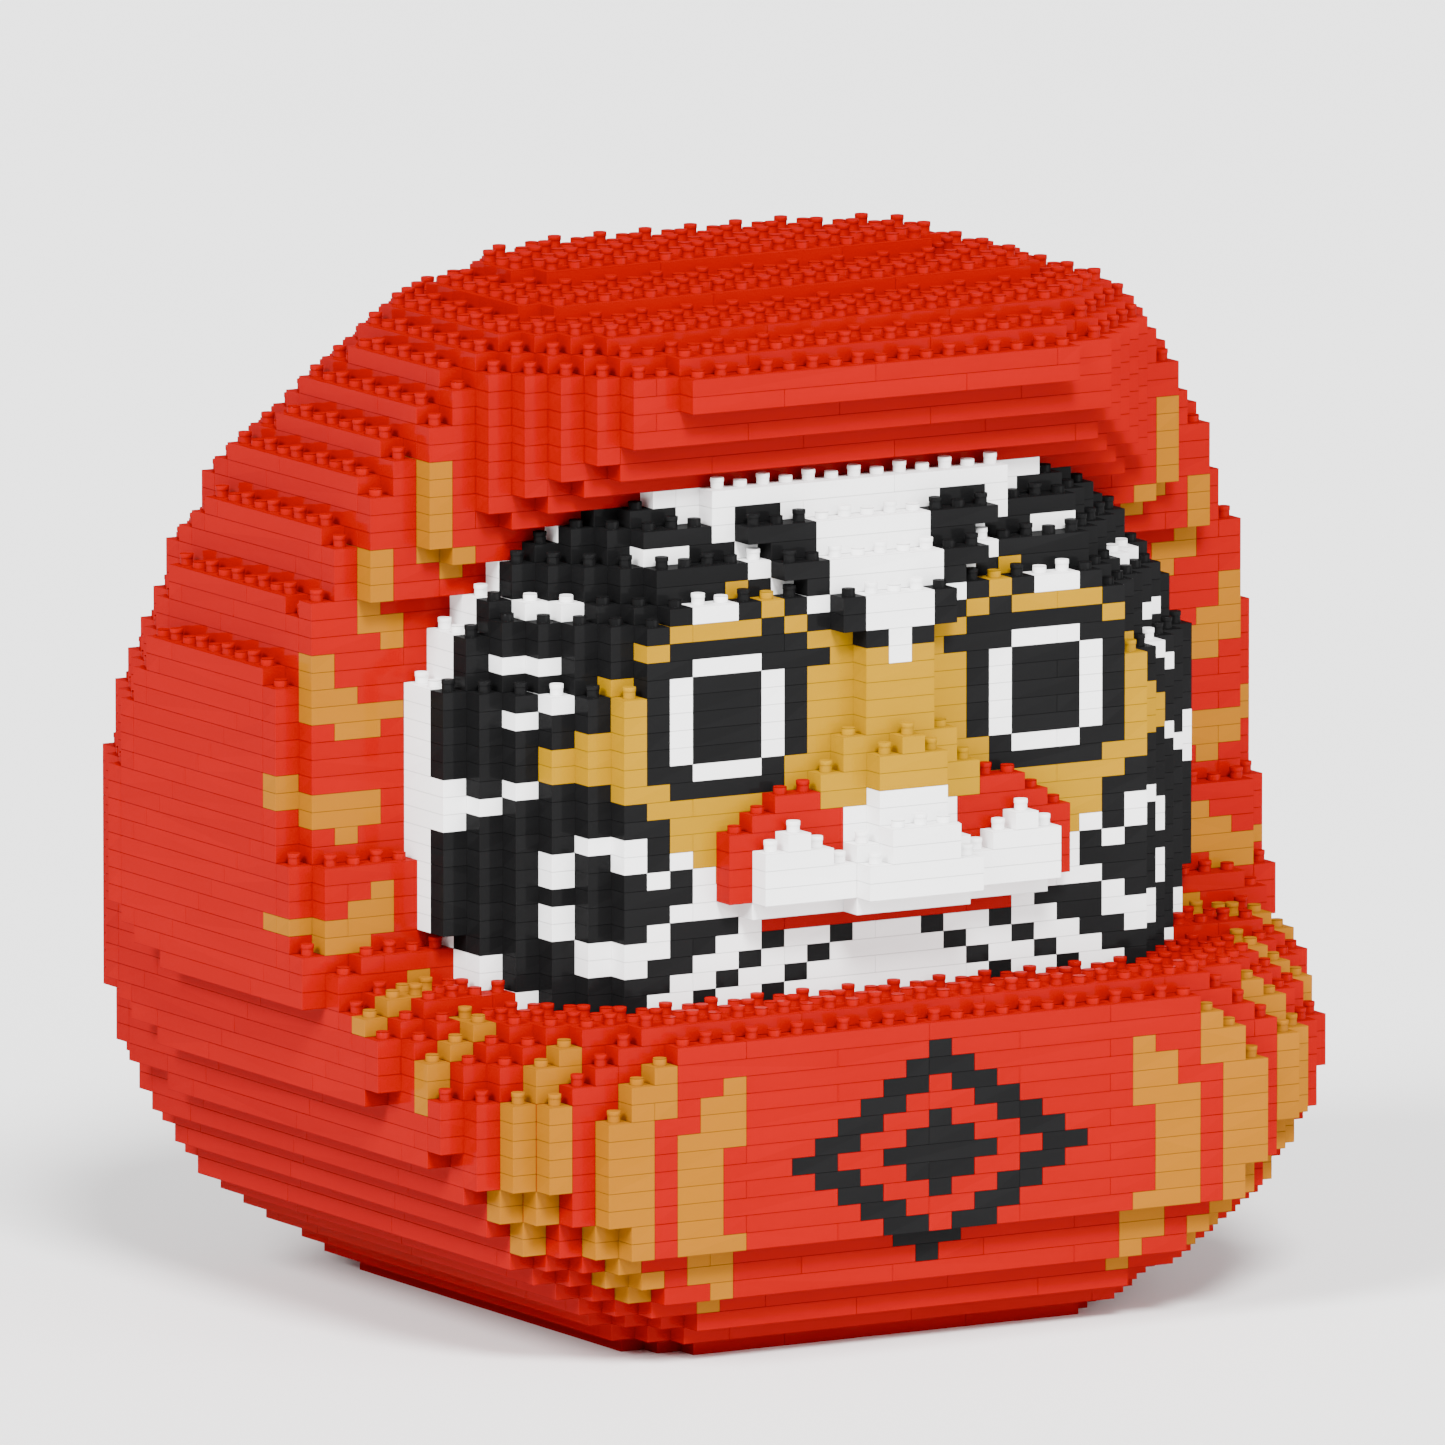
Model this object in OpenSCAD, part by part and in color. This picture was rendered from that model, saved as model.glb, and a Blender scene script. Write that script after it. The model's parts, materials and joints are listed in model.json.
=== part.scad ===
// Daruma figure laid up in small studded bricks, course on course.
// X is the doll's width, Y runs from its face to its back, Z is up.
// The origin is the middle of the footprint, on the surface it stands on.
//
// Everything is counted in cells. A cell is one stud wide, one stud deep
// and one course high. i or j counts cells out from the middle column,
// y counts rows back from the foremost belly row, and z counts courses
// from the shelf below the chin: -19 is the lowest and 40 the crown.
// The two halves mirror each other, so outlines are given as the number
// of the outermost cell on either side of the middle one.

/* [Overall] */
// Height of the brickwork from the ground to the crown, without its studs
body_h = 200; // [120:1:400]
// Number of courses in that height
courses = 60; // [60:1:60]
// Course height as a share of the stud pitch
course_ratio = 0.6667; // [0.6:0.0001:0.8]

/* [Bricks] */
// Clear joint left on each side of a brick
joint = 0.03; // [0.02:0.01:0.08]
// Longest brick laid along a front or back row, in cells
row_brick = 8; // [4:1:8]
// Longest brick laid along a side wall, in cells
wall_brick = 8; // [4:1:8]

/* [Studs] */
// Stud diameter as a share of the pitch
stud_ratio = 0.52; // [0.4:0.01:0.64]
// Height of a low stud as a share of the pitch
low_ratio = 0.28; // [0.2:0.01:0.36]
// Height of a capped stud as a share of the pitch
cap_ratio = 0.44; // [0.38:0.01:0.6]
// Set-back of the stem under a stud cap as a share of the pitch
groove_ratio = 0.02; // [0.01:0.005:0.04]

/* [Belly ornament] */
// Middle course of the ornament
orn_z = -8; // [-9:1:-7]
// Half width of the outer lozenge, in cells
orn_r = 6; // [4:1:7]

/* [Hidden] */
course_h = body_h / courses;
pitch = course_h / course_ratio;
low_z = -19;
top_z = low_z + courses - 1;
mid_y = 17;
chin_back = 10;
stud_r = stud_ratio * pitch / 2;
low_h = low_ratio * pitch;
cap_h = cap_ratio * pitch;
groove = groove_ratio * pitch;
core_gap = 0.3;
red_brick = [0.87, 0.02, 0.03];
gold_brick = [0.72, 0.35, 0.08];
yellow_brick = [0.95, 0.56, 0.02];
white_brick = [0.82, 0.82, 0.82];
black_brick = [0.02, 0.02, 0.02];
core_brick = [0.4, 0.4, 0.42];

// Tables of [first course, value], each value holding until the next entry.
wall_t = [[-20, -1], [-19, 10], [-18, 11], [-17, 12], [-16, 13], [-15, 14], [-14, 15], [-13, 16],
          [-11, 17], [-9, 18], [-7, 19], [-4, 20], [1, 21], [20, 20], [24, 19], [28, 18], [31, 17],
          [33, 16], [35, 15], [37, 14], [38, 13], [39, 11], [40, 9], [41, -1]];
front_t = [[-19, 4], [-18, 3], [-17, 2], [-15, 1], [-12, 0], [0, 1], [1, 8], [2, 10], [4, 11], [9, 12],
           [24, 11], [26, 10], [28, 9], [29, 8], [30, 7], [31, 6], [33, 5], [35, 4], [37, 5],
           [38, 7], [39, 11], [40, 15]];
belly_t = [[-19, 4], [-18, 6], [-17, 7], [-16, 9], [-15, 10], [-14, 11], [-13, 12], [-12, 13],
           [-10, 14], [-8, 15], [-3, 14], [-1, 13], [0, 12]];
belly_tip_t = [[-19, 14], [-4, 13], [-2, 12], [-1, 11]];
back_t = [[-7, 33], [-6, 34], [12, 33], [16, 32], [18, 31], [20, 30], [22, 29]];
face_front_t = [[1, 4], [24, 5], [26, 6]];
face_slope_t = [[1, 7], [19, 6], [23, 5], [24, 4], [26, 3], [28, 2], [29, 1]];
face_wall_t = [[1, 14], [2, 15], [5, 16], [19, 15], [22, 14], [24, 13], [26, 12], [27, 11], [28, 10],
               [29, 8]];
roof_step_t = [[24, 0], [37, 1], [38, 2], [39, 6], [40, 11]];
hood_back_t = [[24, 36], [25, 35], [26, 34], [29, 33], [31, 32], [32, 31], [33, 30], [35, 29], [36, 28],
               [39, 30], [40, 34]];
hood_tail_t = [[24, 8], [25, 7], [26, 6], [31, 5], [33, 4], [39, 3]];
back_round = [15, 15, 17, 17, 19, 19, 20, 20];
hood_round = [6, 8, 10, 11, 12, 13, 14, 16, 18, 20];

function at(t, z, i = 0) = i + 1 >= len(t) || z < t[i + 1][0] ? t[i][1] : at(t, z, i + 1);
function wall(z) = z > top_z ? -1 : at(wall_t, z);
function front(z) = at(front_t, z);
function hood_side(i) = i < 3 ? -1 : i > 12 ? 21 : hood_round[i - 3];
function within(t, z, j, y = 0) = len([for (r = t)
                                       if (z >= r[0] && z <= r[1] && j >= r[2] && j <= r[3]
                                           && (len(r) < 5 || (y >= r[4] && y <= r[5]))) 1]) > 0;

// Belly outline seen from the front, and from the back in the low courses.
function belly_wall_row(z) = (wall(z) == 20 ? 7 : wall(z) == 19 ? 4 : 0) + (wall(z - 1) < wall(z) ? 1 : 0);
function belly_row(z, y) = min(wall(z) - (y < belly_wall_row(z) ? 1 : 0), at(belly_t, z) + y,
                               y == 0 ? at(belly_tip_t, z) : y == 1 ? 12 - z : 40);
function low_belly(z, y) = y < front(z) || y > 31 - front(z) ? -1 : min(belly_row(z, y), belly_row(z, 31 - y));

// Back of the belly and shoulders. The outermost layer starts short and grows course by course.
function short_by(z) = wall(z - 1) < wall(z) ? 4 : wall(z - 2) < wall(z) ? 2 : wall(z - 3) < wall(z) ? 1 : 0;
function back_raw(t) = t < 0 ? -1 : t > 7 ? 21 : back_round[t];
function back_lag(z) = z == -4 || z == -3 ? 1 : 0;
function back_row(z, y) = let(t = at(back_t, z) - 1 - y, w = wall(z))
                          back_raw(t - short_by(z)) >= w ? w : min(w - 1, back_raw(t - back_lag(z)));
function shoulder_row(z, y) = y < front(z) ? -1 : y == front(z) ? (z == 1 || z == 3 ? 19 : 20)
                              : z == 1 && y < 11 ? y + 10
                              : y == front(z) + 1 && (z == 19 || z == 23) ? wall(z) - 1 : 21;

// Hood outline: the same round plan for every course, moved in for the roof steps.
function hood_row(z, y) = let(s = at(roof_step_t, z), f = y - s, b = at(hood_back_t, z) - y - s, w = wall(z),
                              late = z < 37 && wall(z + 1) < w ? 1 : 0,
                              under = y == front(z) && (z == 26 || (z > 27 && z < 32)) ? 1 : 0,
                              c = min(hood_side(f), hood_side(b)), d = min(hood_side(f - late), hood_side(b - late)))
                          y < front(z) || b < at(hood_tail_t, z) ? -1 : d >= w ? w - under : min(w - late, c - under);

function body_n(z, y) = z < low_z || z > top_z ? -1
                        : z < -7 ? low_belly(z, y)
                        : z < 1 ? (y < front(z) ? -1 : min(belly_row(z, y), back_row(z, y)))
                        : z < 24 ? min(shoulder_row(z, y), back_row(z, y))
                        : hood_row(z, y);
function face_n(z, y) = z < 1 || z > 29 || y < at(face_front_t, z) ? -1
                        : z > 27 && y == 6 ? 6 : min(at(face_slope_t, z) + y, at(face_wall_t, z));
// One row of shoulder brick runs out beside the chin on the course above the shelf.
function beside_chin(z, y) = z == 1 && y == 7;
function out_n(z, y) = beside_chin(z, y) ? 18 : z > 0 && z < 30 && y < front(z) ? face_n(z, y) : body_n(z, y);
// First cell of a row that shows, or stands behind one that does.
function in_n(z, y) = max(0, min(out_n(z, y), out_n(z, y - 1), out_n(z, y + 1), out_n(z + 1, y),
                                 z == low_z ? 40 : out_n(z - 1, y)));

// Raised bricks in front of the face: [piece, row, courses from, to, cells from, to].
relief = [["nose_bridge", 3, 16, 19, 0, 1], ["nose_bridge", 3, 20, 20, 1, 1],
          ["nose_bridge", 3, 14, 15, 0, 2], ["nose_tip", 3, 12, 13, 0, 3],
          ["nose_tip", 2, 15, 15, 0, 0], ["nose_tip", 2, 13, 14, 0, 1], ["nostrils", 3, 12, 12, 4, 5],
          ["nostrils", 3, 11, 11, 3, 6], ["nostrils", 3, 7, 10, 3, 7], ["moustache_rear", 3, 7, 11, 0, 2],
          ["moustache_rear", 3, 6, 6, 0, 6], ["moustache_wing", 2, 10, 10, 5, 5], ["moustache_wing", 2, 9, 9, 4, 6],
          ["moustache_wing", 2, 7, 8, 3, 6], ["moustache_centre", 2, 10, 12, 0, 1],
          ["moustache_centre", 2, 7, 9, 0, 2], ["moustache_centre", 2, 6, 6, 0, 2],
          ["moustache_front", 1, 9, 10, 0, 1], ["moustache_front", 1, 7, 8, 0, 2],
          ["forehead_white", 3, 20, 21, 0, 0], ["forehead_black", 3, 21, 21, 1, 1],
          ["forehead_white", 3, 22, 23, 0, 1], ["forehead_black", 3, 22, 23, 2, 2],
          ["forehead_white", 4, 24, 25, 0, 2], ["forehead_black", 4, 24, 24, 3, 3],
          ["forehead_black", 4, 25, 25, 3, 4], ["forehead_black", 5, 26, 26, 3, 4],
          ["forehead_white", 5, 26, 27, 0, 2], ["forehead_black", 5, 27, 27, 3, 5]];
function raised(z, y, j) = y > 5 || z < 6 || z > 27 ? false
                           : len([for (r = relief)
                                  if (r[1] == y && z >= r[2] && z <= r[3] && j >= r[4] && j <= r[5]) 1]) > 0;
function filled(z, y, j) = out_n(z, y) >= j || raised(z, y, j);

// Gold marks as [courses from, to, cells from, to], some of them with [rows from, to] after that.
stripe_inner = [[-3, -3, 9, 9], [-5, -4, 9, 10], [-6, -6, 9, 11], [-11, -7, 10, 11], [-12, -12, 9, 11],
                [-14, -13, 9, 10], [-16, -15, 9, 9]];
stripe_outer = [[-2, -2, 12, 12], [-4, -3, 12, 13], [-10, -5, 13, 14], [-12, -11, 13, 14], [-13, -13, 13, 13],
                [-14, -14, 12, 13], [-15, -15, 12, 12]];
side_pillars = [[-12, -11, 16, 16, 3, 3], [-10, -9, 16, 16, 2, 2], [-10, -9, 17, 17, 3, 3],
                [-8, -4, 16, 16, 1, 1], [-8, -4, 17, 17, 2, 2], [-3, -2, 16, 16, 2, 2], [-2, -1, 15, 15, 2, 2],
                [-4, -2, 19, 19, 5, 5], [-1, -1, 18, 18, 5, 5], [0, 0, 17, 17, 5, 6], [0, 0, 20, 20, 8, 8]];
low_feathers = [[1, 1, 18, 19, 8, 8], [1, 1, 17, 18, 9, 9], [2, 2, 17, 17], [4, 4, 19, 20],
                [5, 5, 18, 21], [6, 6, 18, 19], [7, 7, 18, 18]];
mid_feathers = [[10, 10, 19, 19], [11, 12, 18, 20], [12, 13, 21, 21]];
high_feathers = [[16, 16, 18, 19], [17, 17, 17, 20], [18, 18, 19, 20], [19, 20, 20, 20]];
hood_feathers = [[21, 21, 17, 17], [22, 22, 17, 18], [23, 26, 18, 18], [25, 25, 15, 15], [26, 26, 15, 16],
                 [27, 31, 16, 16]];

// Eye parts, patches of hair and skin on the face, in the same form.
pupil_t = [[15, 19, 6, 8]];
eye_white_t = [[14, 14, 6, 8], [15, 19, 5, 5], [15, 19, 9, 9], [20, 20, 6, 8]];
eye_ring_t = [[13, 13, 5, 9], [14, 14, 5, 5], [14, 14, 9, 10], [15, 19, 4, 4], [15, 19, 10, 10], [20, 20, 3, 5],
              [20, 20, 9, 10], [21, 21, 4, 9]];
brow_white_t = [[23, 23, 3, 3], [23, 23, 7, 8], [23, 23, 12, 13], [24, 24, 4, 4], [25, 26, 5, 5],
                [26, 26, 8, 9], [27, 27, 6, 6], [27, 27, 11, 11, 9, 9]];
brow_skin_t = [[21, 21, 2, 3], [21, 21, 10, 10], [22, 22, 4, 4], [22, 22, 6, 9], [23, 23, 5, 5], [24, 24, 6, 6]];
cheek_skin_t = [[8, 8, 0, 7], [9, 9, 0, 8], [10, 10, 0, 9], [11, 11, 0, 9], [12, 12, 0, 10], [13, 13, 0, 4],
                [13, 13, 10, 11], [14, 14, 0, 4], [14, 15, 11, 13], [15, 19, 0, 3], [16, 19, 11, 11],
                [16, 16, 12, 12], [20, 20, 0, 2]];
side_white_t = [[20, 20, 13, 14], [18, 18, 13, 13], [17, 17, 14, 14], [13, 13, 14, 14], [12, 12, 15, 15],
                [11, 13, 16, 16], [9, 10, 11, 11], [10, 10, 12, 12], [8, 8, 10, 10],
                [8, 9, 13, 13], [5, 6, 13, 13], [5, 5, 10, 10]];
lip_white_t = [[9, 9, 9, 9], [8, 8, 8, 8], [7, 7, 0, 8], [6, 6, 0, 9], [5, 5, 6, 6]];
beard_outer_t = [[4, 4, 13, 16], [3, 3, 13, 14], [2, 2, 12, 14], [1, 1, 12, 13]];

// Ornament: a ring two cells wide and a core, both lozenges, symmetric about the middle column.
function lozenge(z, j) = j + abs(z - orn_z);
function ornament(z, j) = z > -17 && z < 0 && (abs(lozenge(z, j) - orn_r + 0.5) < 1 || lozenge(z, j) < orn_r * 0.4);

// Name of the piece that a cell belongs to.
function belly_piece(z, y, j) = y < 4 && ornament(z, j) ? "belly_ornament"
                                : y < 4 && within(stripe_inner, z, j) ? "belly_stripe_inner"
                                : y < 4 && within(stripe_outer, z, j) ? "belly_stripe_outer"
                                : within(side_pillars, z, j, y) ? "side_pillars"
                                : z < -16 ? "foot_bricks" : z < -12 ? "lower_belly_bricks"
                                : z < -8 ? "belly_bricks_low" : z < -4 ? "belly_bricks_mid"
                                : z < 0 ? "belly_bricks_high" : "shelf_bricks";
function body_piece(z, y, j) = y < 14 && within(low_feathers, z, j, y) ? "low_feathers"
                               : y < 14 && within(mid_feathers, z, j) ? "mid_feathers"
                               : y < 13 && within(high_feathers, z, j) ? "high_feathers"
                               : y < 13 && within(hood_feathers, z, j) ? "hood_feathers"
                               : z < 5 ? "shoulder_bricks_1" : z < 9 ? "shoulder_bricks_2"
                               : z < 13 ? "shoulder_bricks_3" : z < 17 ? "shoulder_bricks_4"
                               : z < 20 ? "shoulder_bricks_5" : z < 24 ? "shoulder_bricks_6"
                               : z < 28 ? "hood_bricks_1" : z < 31 ? "hood_bricks_2" : z < 33 ? "hood_bricks_3"
                               : z < 35 ? "visor_lower" : z < 37 ? "visor_upper" : z < 38 ? "roof_step_1"
                               : z < 39 ? "roof_step_2" : z < 40 ? "roof_step_3" : "crown";
function beard_black(z, j) = j + z == 6 || j + z == 9 || j + z == 12 || j + z == 13 || within(beard_outer_t, z, j);
function crown_black(z, y, j) = z == 28 && (j > 3 && j < 6 || j > 7);
function face_piece(z, y, j) = y >= chin_back ? "face_rim"
                               : z > 27 ? (crown_black(z, y, j) ? "brow_black" : "crown_white")
                               : z < 5 ? (beard_black(z, j) ? "beard_black" : "beard_white")
                               : within(brow_skin_t, z, j) ? "brow_skin"
                               : z > 21 ? (within(brow_white_t, z, j, y) ? "brow_white" : "brow_black")
                               : within(pupil_t, z, j) ? "pupils" : within(eye_white_t, z, j) ? "eye_whites"
                               : within(eye_ring_t, z, j) ? "eye_rings" : within(cheek_skin_t, z, j) ? "cheek_skin"
                               : z == 5 && j < 6 ? "mouth" : within(lip_white_t, z, j) ? "lip_white"
                               : within(side_white_t, z, j) ? "side_hair_white" : "side_hair_black";
function piece(z, y, j) = z < 1 ? belly_piece(z, y, j)
                          : z < 30 && y < front(z) && j <= face_n(z, y) ? face_piece(z, y, j) : body_piece(z, y, j);

module low_stud() cylinder(h = low_h + joint, r = stud_r, $fn = 24);
module capped_stud() {
  cylinder(h = cap_h, r = stud_r - groove, $fn = 24);
  translate([0, 0, low_h]) cylinder(h = cap_h - low_h + joint, r = stud_r, $fn = 24);
}
// A brick over cells i0..i1 and rows y0..y1 with a stud on each cell that nothing covers.
module brick(z, i0, i1, y0, y1) {
  base_z = (z - low_z) * course_h;
  translate([(i0 - 0.5) * pitch + joint, (y0 - mid_y) * pitch + joint, base_z])
    cube([(i1 - i0 + 1) * pitch - 2 * joint, (y1 - y0 + 1) * pitch - 2 * joint, course_h - joint]);
  for (i = [i0:i1], y = [y0:y1])
    if (!filled(z + 1, y, abs(i)))
      translate([i * pitch, (y + 0.5 - mid_y) * pitch, base_z + course_h - 2 * joint])
        if ((i + y + z - low_z) % 2 == 0) capped_stud(); else low_stud();
}
// Bricks of one piece along a row, broken at each change of piece and staggered by course.
module row_run(name, z, y, a, b) {
  shift = 60 + (z % 2 == 0 ? 0 : floor(row_brick / 2)) + y;
  starts = [for (i = [a:b]) if (i == a || (i + shift) % row_brick == 0
            || piece(z, y, abs(i)) != piece(z, y, abs(i - 1))) i];
  for (s = [0:len(starts) - 1])
    if (piece(z, y, abs(starts[s])) == name) brick(z, starts[s], s + 1 < len(starts) ? starts[s + 1] - 1 : b, y, y);
}
function alike(z, y) = in_n(z, y) > 0 && out_n(z, y) == out_n(z, y - 1) && in_n(z, y) == in_n(z, y - 1)
                       && piece(z, y, out_n(z, y)) == piece(z, y - 1, out_n(z, y))
                       && piece(z, y, in_n(z, y)) == piece(z, y, out_n(z, y)) && (y + z + 40) % wall_brick != 0;
function last_alike(z, y) = alike(z, y + 1) ? last_alike(z, y + 1) : y;
// All bricks of one piece between two courses and two rows.
module laid(name, z0, z1, y0 = 0, y1 = 33) {
  for (z = [z0:z1], y = [y0:y1])
    if (out_n(z, y) >= 0) {
      n = out_n(z, y);
      m = in_n(z, y);
      if (m == 0) row_run(name, z, y, -n, n);
      else if (last_alike(z, y) > y && !alike(z, y)) {
        if (piece(z, y, n) == name)
          for (s = [-1, 1]) brick(z, s > 0 ? m : -n, s > 0 ? n : -m, y, last_alike(z, y));
      } else if (!alike(z, y)) {
        row_run(name, z, y, m, n);
        row_run(name, z, y, -n, -m);
      }
    }
}
// Raised bricks of one piece, whole across the middle or in mirrored pairs.
module raised_bricks(name)
  for (r = relief)
    if (r[0] == name)
      for (z = [r[2]:r[3]])
        if (r[4] == 0) brick(z, -r[5], r[5], r[1], r[1]);
        else for (s = [-1, 1]) brick(z, s > 0 ? r[4] : -r[5], s > 0 ? r[5] : -r[4], r[1], r[1]);
// Fill of brickwork inside the skin between two courses, kept clear of every skin brick.
// It steps in and out once for each group of rows.
core_rows = 3;
core_last = 10;
function core_n(z0, z1, g) = g < 0 || g > core_last ? -1
                             : min([for (z = [z0:z1], y = [g * core_rows:g * core_rows + core_rows - 1]) in_n(z, y)]) - 1;
module core_tier(z0, z1) {
  reach = [for (g = [-1:core_last + 1]) let(n = core_n(z0, z1, g)) n < 2 ? -1 : n];
  side = [for (g = [0:core_last], e = [0, 1])
          let(n = reach[g + 1], o = reach[g + 2 * e])
          if (n > 0 && o != n)
          [(n + 0.5) * pitch - core_gap,
           ((g + e) * core_rows - mid_y) * pitch + (o < n ? 1 - 2 * e : 2 * e - 1) * core_gap]];
  other = [for (k = [len(side) - 1:-1:0]) [-side[k][0], side[k][1]]];
  translate([0, 0, (z0 - low_z) * course_h])
    linear_extrude(height = (z1 - z0 + 1) * course_h - joint) polygon(concat(side, other));
}

// Plate on the ground inside the lowest course.
module base_plate() color(core_brick) core_tier(-19, -19);
// Hidden fill that carries the skin, tier on tier.
module core_lower() color(core_brick) { core_tier(-18, -15); core_tier(-14, -10); core_tier(-9, -5); core_tier(-4, -1); }
module core_middle() color(core_brick) { core_tier(0, 4); core_tier(5, 10); core_tier(11, 16); core_tier(17, 22); }
module core_upper() color(core_brick) { core_tier(23, 27); core_tier(28, 32); core_tier(33, 36); core_tier(37, 38); core_tier(39, 39); }
// Red skin, from the ground to the shelf below the chin.
module foot_bricks() color(red_brick) laid("foot_bricks", -19, -17);
module lower_belly_bricks() color(red_brick) laid("lower_belly_bricks", -16, -13);
module belly_bricks_low() color(red_brick) laid("belly_bricks_low", -12, -9);
module belly_bricks_mid() color(red_brick) laid("belly_bricks_mid", -8, -5);
module belly_bricks_high() color(red_brick) laid("belly_bricks_high", -4, -1);
module shelf_bricks() color(red_brick) laid("shelf_bricks", 0, 0);
// Red skin beside and behind the face.
module shoulder_bricks_1() color(red_brick) laid("shoulder_bricks_1", 1, 4);
module shoulder_bricks_2() color(red_brick) laid("shoulder_bricks_2", 5, 8);
module shoulder_bricks_3() color(red_brick) laid("shoulder_bricks_3", 9, 12);
module shoulder_bricks_4() color(red_brick) laid("shoulder_bricks_4", 13, 16);
module shoulder_bricks_5() color(red_brick) laid("shoulder_bricks_5", 17, 19);
module shoulder_bricks_6() color(red_brick) laid("shoulder_bricks_6", 20, 23);
// Red hood, its jutting brim and the stepped roof.
module hood_bricks_1() color(red_brick) laid("hood_bricks_1", 24, 27);
module hood_bricks_2() color(red_brick) laid("hood_bricks_2", 28, 30);
module hood_bricks_3() color(red_brick) laid("hood_bricks_3", 31, 32);
module visor_lower() color(red_brick) laid("visor_lower", 33, 34);
module visor_upper() color(red_brick) laid("visor_upper", 35, 36);
module roof_step_1() color(red_brick) laid("roof_step_1", 37, 37);
module roof_step_2() color(red_brick) laid("roof_step_2", 38, 38);
module roof_step_3() color(red_brick) laid("roof_step_3", 39, 39);
module crown() color(red_brick) laid("crown", 40, 40);
// Gold marks.
module belly_stripe_inner() color(gold_brick) laid("belly_stripe_inner", -16, -3, 0, 3);
module belly_stripe_outer() color(gold_brick) laid("belly_stripe_outer", -15, -2, 0, 3);
module side_pillars() color(gold_brick) laid("side_pillars", -12, 0, 0, 8);
module low_feathers() color(gold_brick) laid("low_feathers", 1, 7, 8, 13);
module mid_feathers() color(gold_brick) laid("mid_feathers", 10, 13, 11, 13);
module high_feathers() color(gold_brick) laid("high_feathers", 16, 20, 11, 12);
module hood_feathers() color(gold_brick) laid("hood_feathers", 21, 31, 9, 12);
// Ornament on the belly.
module belly_ornament() color(black_brick) laid("belly_ornament", -16, -1, 0, 3);
// Beard and mouth.
module beard_white() color(white_brick) laid("beard_white", 1, 4, 4, 9);
module beard_black() color(black_brick) laid("beard_black", 1, 4, 4, 9);
module mouth() color(red_brick) laid("mouth", 5, 5, 4, 9);
module lip_white() color(white_brick) laid("lip_white", 5, 9, 4, 9);
// Hair round the face.
module face_rim() color(white_brick) laid("face_rim", 1, 25, 10, 11);
module side_hair_black() color(black_brick) laid("side_hair_black", 5, 21, 4, 9);
module side_hair_white() color(white_brick) laid("side_hair_white", 5, 20, 4, 9);
// Skin and eyes.
module cheek_skin() color(yellow_brick) laid("cheek_skin", 8, 20, 4, 9);
module brow_skin() color(yellow_brick) laid("brow_skin", 21, 24, 4, 9);
module eye_rings() color(black_brick) laid("eye_rings", 13, 21, 4, 9);
module eye_whites() color(white_brick) laid("eye_whites", 14, 20, 4, 9);
module pupils() color(black_brick) laid("pupils", 15, 19, 4, 9);
// Brow and forehead.
module brow_black() color(black_brick) laid("brow_black", 22, 28, 4, 10);
module brow_white() color(white_brick) laid("brow_white", 23, 27, 4, 10);
module crown_white() color(white_brick) laid("crown_white", 28, 29, 6, 8);
// Raised bricks in front of the face.
module forehead_white() color(white_brick) raised_bricks("forehead_white");
module forehead_black() color(black_brick) raised_bricks("forehead_black");
module nose_bridge() color(yellow_brick) raised_bricks("nose_bridge");
module nose_tip() color(yellow_brick) raised_bricks("nose_tip");
module nostrils() color(red_brick) raised_bricks("nostrils");
module moustache_rear() color(white_brick) raised_bricks("moustache_rear");
module moustache_wing() color(white_brick) raised_bricks("moustache_wing");
module moustache_centre() color(white_brick) raised_bricks("moustache_centre");
module moustache_front() color(white_brick) raised_bricks("moustache_front");

base_plate();
core_lower();
core_middle();
core_upper();
foot_bricks();
lower_belly_bricks();
belly_bricks_low();
belly_bricks_mid();
belly_bricks_high();
shelf_bricks();
shoulder_bricks_1();
shoulder_bricks_2();
shoulder_bricks_3();
shoulder_bricks_4();
shoulder_bricks_5();
shoulder_bricks_6();
hood_bricks_1();
hood_bricks_2();
hood_bricks_3();
visor_lower();
visor_upper();
roof_step_1();
roof_step_2();
roof_step_3();
crown();
belly_stripe_inner();
belly_stripe_outer();
side_pillars();
low_feathers();
mid_feathers();
high_feathers();
hood_feathers();
belly_ornament();
beard_white();
beard_black();
mouth();
lip_white();
face_rim();
side_hair_black();
side_hair_white();
cheek_skin();
brow_skin();
eye_rings();
eye_whites();
pupils();
brow_black();
brow_white();
crown_white();
forehead_white();
forehead_black();
nose_bridge();
nose_tip();
nostrils();
moustache_rear();
moustache_wing();
moustache_centre();
moustache_front();
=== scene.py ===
import json
import math

import bpy
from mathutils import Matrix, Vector

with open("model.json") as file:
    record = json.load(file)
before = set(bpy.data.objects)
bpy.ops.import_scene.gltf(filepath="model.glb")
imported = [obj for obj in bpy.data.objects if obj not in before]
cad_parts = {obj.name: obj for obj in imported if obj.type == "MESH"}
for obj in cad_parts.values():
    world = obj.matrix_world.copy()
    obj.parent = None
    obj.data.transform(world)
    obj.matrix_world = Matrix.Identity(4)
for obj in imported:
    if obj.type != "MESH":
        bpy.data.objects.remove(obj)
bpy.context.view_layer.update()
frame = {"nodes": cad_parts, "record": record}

# Brickwork sizes in metres, the same as in the CAD.
COURSE = 0.2 / 60
PITCH = 0.005
STUD_R = 0.0013
LOW_STUD = 0.0014

# Shades painted where light can't reach: along a joint, and in the groove under the cap of a tall stud.
JOINT_HALF_WIDTH = 0.00009
JOINT_SHADE_DEPTH = 0.35
GROOVE_HALF_WIDTH = 0.00009
GROOVE_SHADE_DEPTH = 0.6
GROOVE_REACH = 1.08 * STUD_R / PITCH
# A whole number of cells that lifts every cell count above zero.
CELL_SHIFT = 100.0
# Odd or even: which cells have the capped studs.
CAP_PARITY = 1.0

# Eased edges of the bricks.
WELD_DISTANCE = 0.000002
EDGE_WIDTH = 0.000045
EDGE_SEGMENTS = 2
EDGE_ANGLE = math.radians(40)

FLOOR_SIZE = 40.0
SUBJECT_CENTRE = Vector((0, 0, 0.1))

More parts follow.
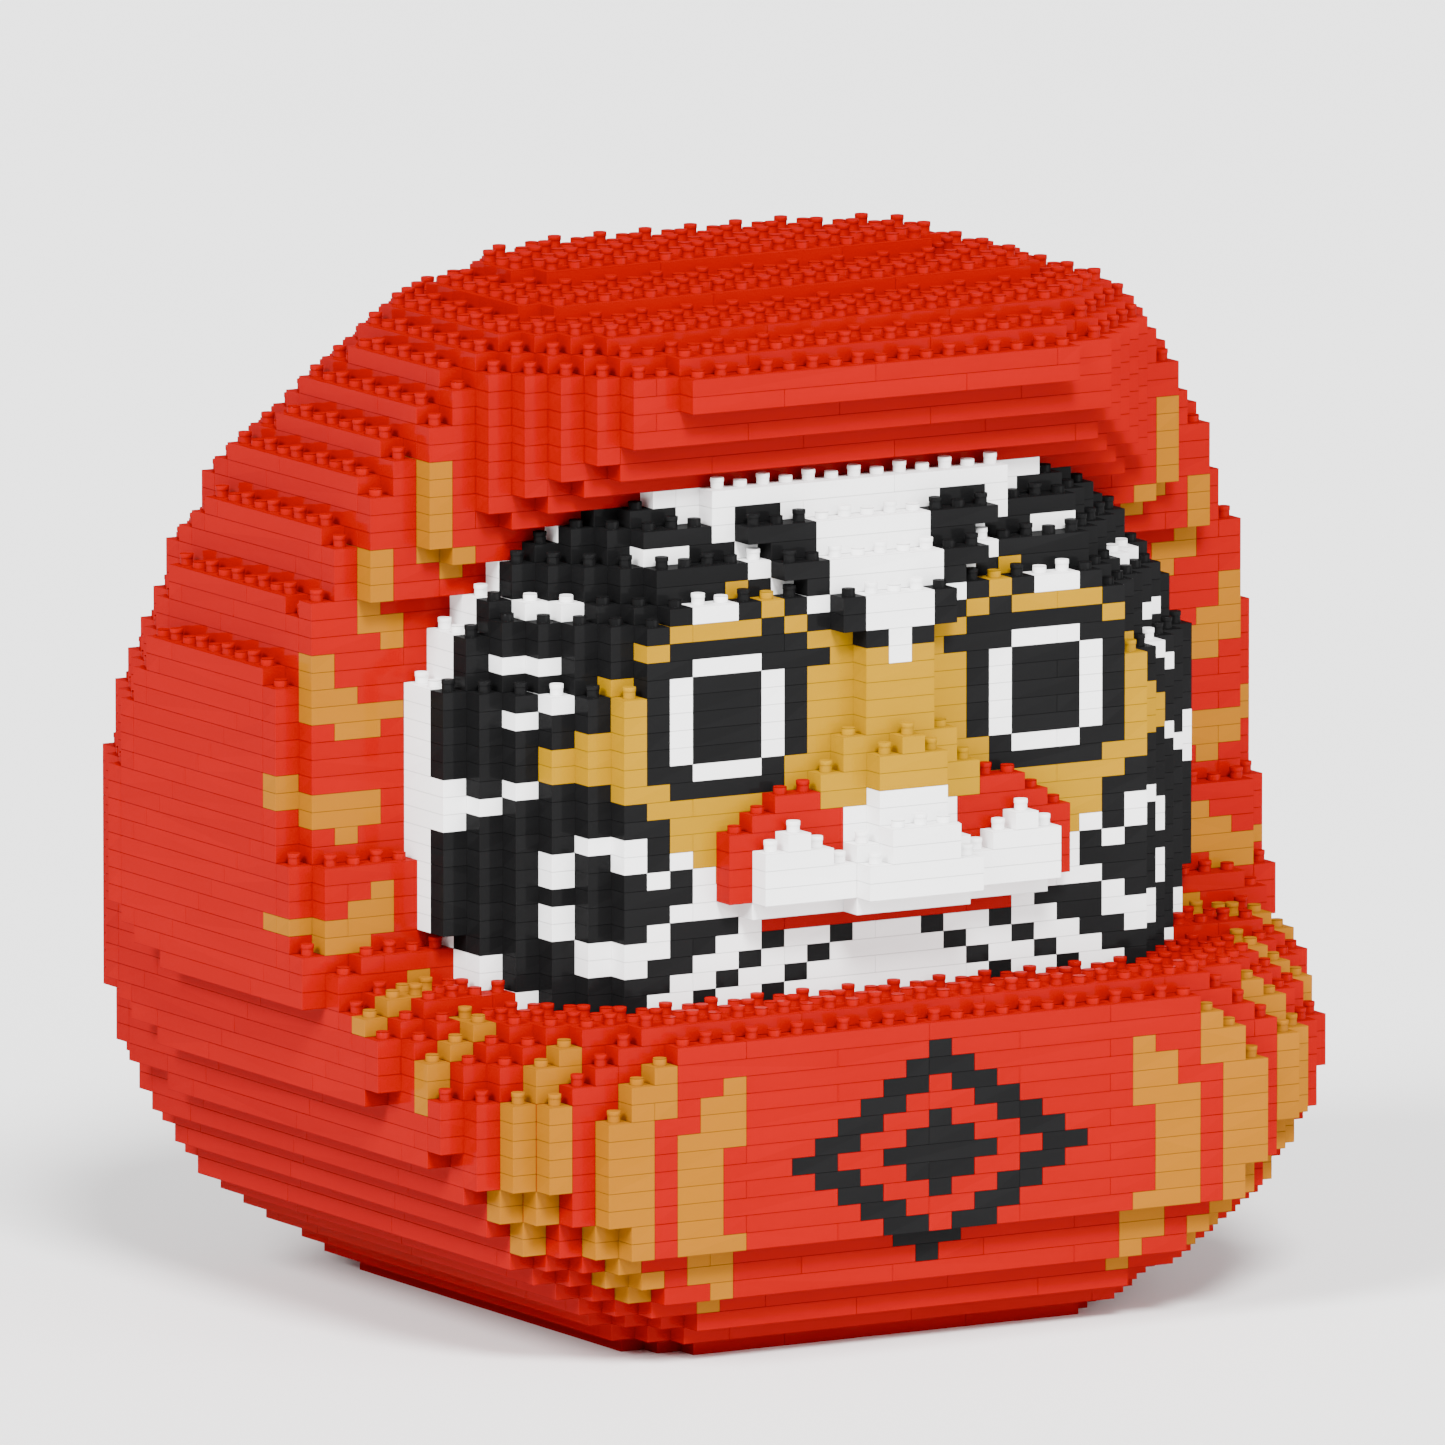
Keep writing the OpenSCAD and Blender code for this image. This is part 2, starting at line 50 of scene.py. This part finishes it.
# View of the figure: turned to its left, a little from above, through a very long lens.
VIEW_YAW = math.radians(30.3)
VIEW_PITCH = math.radians(9.41)
VIEW_DISTANCE = 6.04
VIEW_AIM = Vector((-0.0452, -0.0806, 0.1238))
VIEW_LENS = 800
VIEW_SENSOR = 36
VIEW_CLIP_END = 100


class Net:
    """Shorthand for building one material's nodes."""

    def __init__(self, name):
        self.mat = bpy.data.materials.new(name)
        self.mat.use_nodes = True
        self.tree = self.mat.node_tree
        self.bsdf = self.tree.nodes["Principled BSDF"]
        self.object_pos = self.tree.nodes.new("ShaderNodeTexCoord").outputs["Object"]

    def link(self, value, socket):
        if hasattr(value, "links"):
            self.tree.links.new(value, socket)
        else:
            socket.default_value = value

    def math(self, op, a, b=0.0):
        node = self.tree.nodes.new("ShaderNodeMath")
        node.operation = op
        for value, socket in zip((a, b), node.inputs):
            self.link(value, socket)
        return node.outputs[0]

    def product(self, first, *others):
        for other in others:
            first = self.math("MULTIPLY", first, other)
        return first

    def near(self, value, target, half_width):
        """One within half_width of target, nought elsewhere."""
        return self.math("LESS_THAN", self.math("ABSOLUTE", self.math("SUBTRACT", value, target)), half_width)

    def darken(self, mask, depth):
        return self.math("SUBTRACT", 1.0, self.math("MULTIPLY", mask, depth))

    def split(self, vector):
        node = self.tree.nodes.new("ShaderNodeSeparateXYZ")
        self.link(vector, node.inputs[0])
        return node.outputs

    def noise(self, scale, detail=2.0):
        node = self.tree.nodes.new("ShaderNodeTexNoise")
        self.link(self.object_pos, node.inputs["Vector"])
        node.inputs["Scale"].default_value = scale
        node.inputs["Detail"].default_value = detail
        return node.outputs["Fac"]

    def ramp(self, value, low, high, out_low, out_high):
        node = self.tree.nodes.new("ShaderNodeMapRange")
        names = ("Value", "From Min", "From Max", "To Min", "To Max")
        for number, name in zip((value, low, high, out_low, out_high), names):
            self.link(number, node.inputs[name])
        return node.outputs["Result"]

    def cloud(self, scale, detail, out_low, out_high):
        """Soft noise spread over a range of values."""
        return self.ramp(self.noise(scale, detail), 0.3, 0.7, out_low, out_high)

    def paint(self, color, factor):
        node = self.tree.nodes.new("ShaderNodeVectorMath")
        node.operation = "SCALE"
        self.link(color, node.inputs[0])
        self.link(factor, node.inputs["Scale"])
        self.link(node.outputs[0], self.bsdf.inputs["Base Color"])


def brick_plastic(name, color, roughness, tint):
    """Moulded gloss plastic. Each brick has its own slight tint and sheen, with a fine mould texture.
    Shadow gathers in the joints between courses and in the groove under the cap of a capped stud."""
    net = Net(name)
    geometry = net.tree.nodes.new("ShaderNodeNewGeometry")
    island = geometry.outputs["Random Per Island"]
    x, y, z = net.split(net.object_pos)
    normal_z = net.split(geometry.outputs["True Normal"])[2]
    upright = net.math("LESS_THAN", net.math("ABSOLUTE", normal_z), 0.6)
    column = net.math("ADD", net.math("DIVIDE", x, PITCH), CELL_SHIFT + 0.5)
    row = net.math("ADD", net.math("DIVIDE", y, PITCH), CELL_SHIFT)
    course = net.math("ADD", net.math("DIVIDE", z, COURSE), CELL_SHIFT)
    rise = net.math("MULTIPLY", net.math("FRACT", course), COURSE)

    # Painted shade in the joints along the top and bottom of each course, where shadow gathers.
    from_joint = net.math("MINIMUM", rise, net.math("SUBTRACT", COURSE, rise))
    painted_joint_shade = net.math("MULTIPLY", net.math("LESS_THAN", from_joint, JOINT_HALF_WIDTH), upright)

    # Painted shade in the groove of a capped stud. Low and capped studs alternate cell by cell, in all three
    # directions.
    off_x = net.math("SUBTRACT", net.math("FRACT", column), 0.5)
    off_y = net.math("SUBTRACT", net.math("FRACT", row), 0.5)
    off = net.math("SQRT", net.math("ADD", net.math("MULTIPLY", off_x, off_x), net.math("MULTIPLY", off_y, off_y)))
    in_stud = net.math("LESS_THAN", off, GROOVE_REACH)
    plan_sum = net.math("ADD", net.math("FLOOR", column), net.math("FLOOR", row))
    cell_sum = net.math("ADD", plan_sum, net.math("FLOOR", course))
    capped = net.math("LESS_THAN", net.math("MODULO", net.math("ADD", cell_sum, CAP_PARITY), 2.0), 0.5)
    under_cap = net.near(rise, LOW_STUD - GROOVE_HALF_WIDTH, GROOVE_HALF_WIDTH)
    painted_groove_shade = net.product(in_stud, under_cap, capped, upright)

    # Painted shade: the base colour is darkened in the course joints and in the capped-stud grooves.
    shade = net.math("MULTIPLY", net.darken(painted_joint_shade, JOINT_SHADE_DEPTH), net.darken(painted_groove_shade, GROOVE_SHADE_DEPTH))
    mottle = net.cloud(45.0, 3.0, 1.0 - 0.5 * tint, 1.0 + 0.5 * tint)
    per_brick = net.ramp(island, 0.0, 1.0, 1.0 - tint, 1.0 + tint)
    net.paint(color, net.math("MULTIPLY", shade, net.math("MULTIPLY", mottle, per_brick)))

    grain = net.cloud(1800.0, 3.0, -0.03, 0.04)
    sheen = net.math("ADD", grain, net.ramp(island, 0.0, 1.0, -0.02, 0.02))
    net.link(net.math("ADD", sheen, roughness), net.bsdf.inputs["Roughness"])
    bump = net.tree.nodes.new("ShaderNodeBump")
    bump.inputs["Strength"].default_value = 0.03
    bump.inputs["Distance"].default_value = 0.00002
    net.link(net.noise(300.0, 2.0), bump.inputs["Height"])
    net.link(bump.outputs[0], net.bsdf.inputs["Normal"])
    net.bsdf.inputs["IOR"].default_value = 1.5
    net.bsdf.inputs["Specular IOR Level"].default_value = 0.0
    net.bsdf.inputs["Coat Weight"].default_value = 0.07
    net.bsdf.inputs["Coat Roughness"].default_value = 0.10
    return net.mat


def plain_core(name):
    """Grey hidden fill with a faint moulding grain."""
    net = Net(name)
    net.paint((0.36, 0.36, 0.38), net.cloud(300.0, 2.0, 0.85, 1.1))
    net.link(net.cloud(900.0, 2.0, 0.5, 0.7), net.bsdf.inputs["Roughness"])
    return net.mat


def pale_floor(name):
    """Matt floor with a hardly visible unevenness."""
    net = Net(name)
    net.paint((0.93, 0.93, 0.93), net.cloud(6.0, 2.0, 0.99, 1.01))
    net.bsdf.inputs["Roughness"].default_value = 0.6
    return net.mat


def ease_edges(node):
    """Joins the faces of each brick and gives its edges a small round."""
    weld = node.modifiers.new("join_faces", "WELD")
    weld.merge_threshold = WELD_DISTANCE
    edge = node.modifiers.new("eased_edges", "BEVEL")
    edge.width = EDGE_WIDTH
    edge.segments = EDGE_SEGMENTS
    edge.use_clamp_overlap = False
    edge.limit_method = "ANGLE"
    edge.angle_limit = EDGE_ANGLE
    edge.harden_normals = True


def soft_sun(name, place, angle, strength):
    """Broad distant light that shines from a place towards the middle of the figure."""
    data = bpy.data.lights.new(name, "SUN")
    data.energy = strength
    data.angle = math.radians(angle)
    light = bpy.data.objects.new(name, data)
    light.location = place
    light.rotation_euler = (SUBJECT_CENTRE - Vector(place)).to_track_quat("-Z", "Y").to_euler()
    bpy.context.collection.objects.link(light)


finish = {
    "red_gloss": brick_plastic("red_gloss", (0.235, 0.0, 0.0002), 0.24, 0.035),
    "tan_gold_gloss": brick_plastic("tan_gold_gloss", (0.24, 0.088, 0.003), 0.24, 0.03),
    "yellow_gloss": brick_plastic("yellow_gloss", (0.285, 0.146, 0.0), 0.24, 0.03),
    "white_gloss": brick_plastic("white_gloss", (0.85, 0.85, 0.85), 0.26, 0.02),
    "black_gloss": brick_plastic("black_gloss", (0.006, 0.006, 0.0062), 0.22, 0.12),
    "core_grey": plain_core("core_grey"),
}

for sub in frame["record"]["subparts"]:
    node = frame["nodes"][sub["node"]]
    node.data.materials.clear()
    node.data.materials.append(finish[sub["material_slot"]])
    if sub["material_slot"] != "core_grey":
        ease_edges(node)

bpy.ops.mesh.primitive_plane_add(size=FLOOR_SIZE, location=(0, 0, 0))
floor = bpy.context.object
floor.name = "floor"
floor.data.materials.append(pale_floor("pale_floor"))

look = Vector((
    math.sin(VIEW_YAW) * math.cos(VIEW_PITCH),
    math.cos(VIEW_YAW) * math.cos(VIEW_PITCH),
    -math.sin(VIEW_PITCH),
))
lens = bpy.data.cameras.new("view")
lens.lens = VIEW_LENS
lens.sensor_width = VIEW_SENSOR
lens.clip_end = VIEW_CLIP_END
camera = bpy.data.objects.new("view", lens)
camera.location = VIEW_AIM - look * VIEW_DISTANCE
camera.rotation_euler = look.to_track_quat("-Z", "Y").to_euler()
bpy.context.collection.objects.link(camera)
bpy.context.scene.camera = camera

soft_sun("key", (-0.5, -1.5, 1.7), 16, 7.4)
soft_sun("side", (-1.8, -0.5, 1.5), 24, 5.6)
soft_sun("fill", (0.8, -1.8, 0.9), 50, 2.4)

world = bpy.data.worlds.new("studio")
world.use_nodes = True
background = world.node_tree.nodes["Background"]
background.inputs["Color"].default_value = (1.0, 1.0, 1.0, 1.0)
background.inputs["Strength"].default_value = 0.5
bpy.context.scene.world = world
